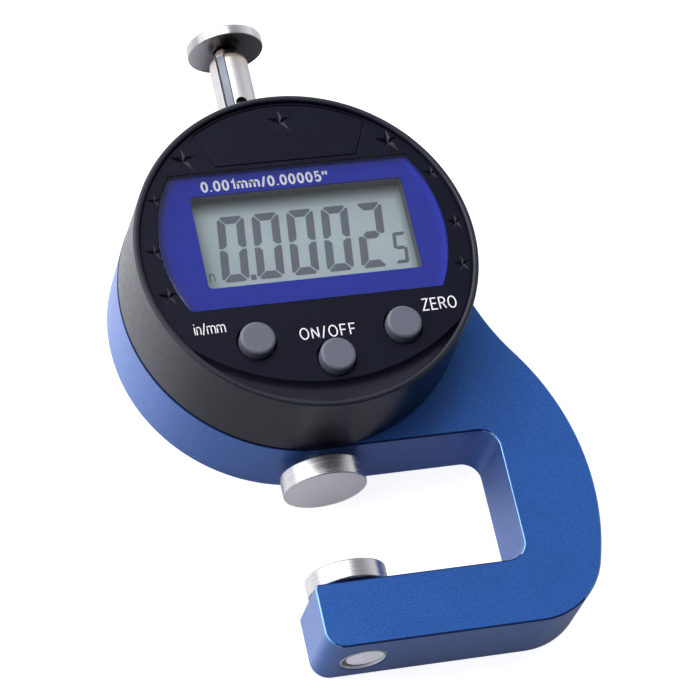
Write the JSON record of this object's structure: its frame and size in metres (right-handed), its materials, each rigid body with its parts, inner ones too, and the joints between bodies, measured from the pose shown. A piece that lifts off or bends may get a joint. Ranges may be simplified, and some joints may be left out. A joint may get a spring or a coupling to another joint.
{
  "type": "digital thickness gauge",
  "caption": "Handheld gauge: flat C-frame, round display head with push buttons, and a lifting spindle over a fixed anvil.",
  "frame": {"origin": "centre of the underside of the bounding box, with the gauge on its flat back and the spindle fully lifted", "axes": "+Z out of the display, +Y along the spindle towards the lifting cap, +X towards the frame's spine"},
  "size_m": [0.0744, 0.119, 0.0328],
  "materials": {
    "frame": "blue anodised, fine bead-blasted",
    "back_cover": "blue anodised, fine bead-blasted",
    "cover_screw": "plain steel",
    "housing_screw": "plain steel",
    "bush": "turned brass",
    "spindle": "ground steel",
    "lift_sleeve": "satin bright steel",
    "lift_cap": "polished bright steel",
    "anvil": "turned bright steel with a lapped face",
    "anvil_screw": "plain steel",
    "anvil_plug": "milky clear, domed",
    "carriage": "milled",
    "carriage_screw": "blackened",
    "scale_strip": "laminate with metal bars",
    "guide_rod": "ground steel",
    "return_spring": "spring wire",
    "spring_pin": "plain steel",
    "housing": "black, fine matt grain",
    "face_plate": "clear, polished",
    "face_mask": "blue print",
    "lcd_glass": "grey-green reflective display",
    "lcd_holder": "plain",
    "contact_strip": "layered rubber",
    "board": "green solder mask",
    "chip": "moulded",
    "button": "grey, satin",
    "switch": "stamped",
    "battery_cell": "nickel plated",
    "battery_contact": "stamped",
    "battery_door": "black, fine matt grain"
  },
  "bodies": {
    "gauge_body": {"frame": "frame", "back_cover": "back_cover", "cover_screw_1": "cover_screw", "cover_screw_2": "cover_screw", "cover_screw_3": "cover_screw", "cover_screw_4": "cover_screw", "housing_screw_1": "housing_screw", "housing_screw_2": "housing_screw", "housing_screw_3": "housing_screw", "housing_screw_4": "housing_screw", "upper_bush": "bush", "lower_bush": "bush", "lower_anvil": "anvil", "anvil_screw": "anvil_screw", "anvil_plug": "anvil_plug", "guide_rod": "guide_rod", "return_spring": "return_spring", "spring_pin": "spring_pin", "housing": "housing", "face_plate": "face_plate", "face_mask": "face_mask", "lcd_glass": "lcd_glass", "lcd_holder": "lcd_holder", "contact_strip": "contact_strip", "sensor_board": "board", "main_board": "board", "encoder_chip": "chip", "board_link": "chip", "switch_units": "switch", "switch_power": "switch", "switch_zero": "switch", "battery_cell": "battery_cell", "battery_contact": "battery_contact", "battery_clip": "battery_contact"},
    "spindle_body": {"spindle": "spindle", "lift_sleeve": "lift_sleeve", "lift_cap": "lift_cap", "upper_anvil": "anvil", "carriage": "carriage", "carriage_screw": "carriage_screw", "scale_strip": "scale_strip"},
    "units_key": {"button_units": "button"},
    "power_key": {"button_power": "button"},
    "zero_key": {"button_zero": "button"},
    "door": {"battery_door": "battery_door"}
  },
  "joints": [
    {"name": "spindle_slide", "type": "slide", "parent": "gauge_body", "child": "spindle_body", "axis": [0, 1, 0], "range_m": [-0.0153, 0], "stiffness_N_per_m": 60, "springref_m": -0.03, "deforming": ["return_spring"]},
    {"name": "units_press", "type": "slide", "parent": "gauge_body", "child": "units_key", "axis": [0, 0, 1], "range_m": [-0.0008, 0], "stiffness_N_per_m": 400, "springref_m": 0.0005},
    {"name": "power_press", "type": "slide", "parent": "gauge_body", "child": "power_key", "axis": [0, 0, 1], "range_m": [-0.0008, 0], "stiffness_N_per_m": 400, "springref_m": 0.0005},
    {"name": "zero_press", "type": "slide", "parent": "gauge_body", "child": "zero_key", "axis": [0, 0, 1], "range_m": [-0.0008, 0], "stiffness_N_per_m": 400, "springref_m": 0.0005},
    {"name": "door_lift", "type": "slide", "parent": "gauge_body", "child": "door", "axis": [0, 0, 1], "range_m": [0, 0.008]}
  ]
}
